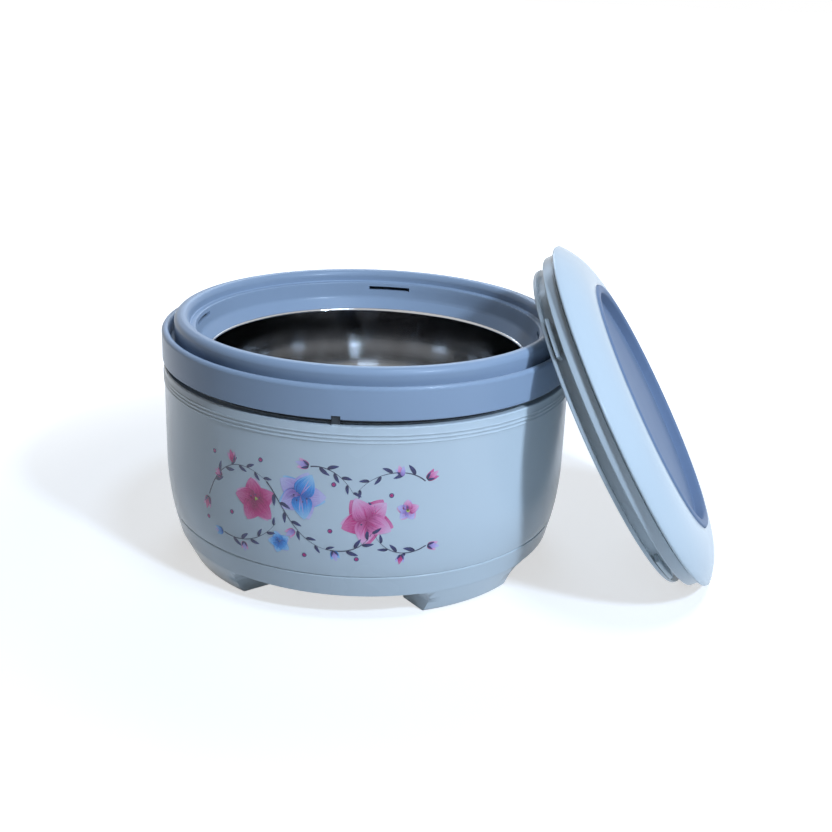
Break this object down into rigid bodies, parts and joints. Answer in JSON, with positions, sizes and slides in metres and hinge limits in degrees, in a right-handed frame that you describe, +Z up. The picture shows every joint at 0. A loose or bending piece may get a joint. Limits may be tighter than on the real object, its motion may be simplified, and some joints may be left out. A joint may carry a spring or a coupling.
{
  "type": "insulated chapati casserole",
  "caption": "Round insulated serving casserole with a polished steel bowl, lavender collar ring and bracket feet, and its domed insulated lid lifted off and leaning on it.",
  "frame": {"origin": "on the casserole body's axis, in the plane of its feet", "axes": "+Z up along the body's axis, -Y to the front with the printed side, +X to the side on which the lid leans"},
  "size_m": [0.3476, 0.25, 0.1947],
  "materials": {
    "ivory_plastic": "glossy moulded plastic, ivory white",
    "lavender_plastic": "satin-gloss moulded plastic, grey lavender",
    "bowl_steel": "polished stainless steel",
    "foam": "rigid insulating foam, closed in",
    "plug_plastic": "soft plastic plug"
  },
  "bodies": {
    "casserole_body": {"outer_casing": "ivory_plastic", "base_shell": "ivory_plastic", "base_fill_plug": "plug_plastic", "collar_ring": "lavender_plastic", "inner_bowl": "bowl_steel", "body_foam": "foam"},
    "lid": {"lid_shell": "ivory_plastic", "lid_top_panel": "lavender_plastic", "lid_liner": "ivory_plastic", "lid_foam": "foam"}
  },
  "joints": [
    {"name": "lid_lift", "type": "slide", "parent": "casserole_body", "child": "lid", "axis": [0, 0, 1], "range_m": [0, 0.2]}
  ]
}
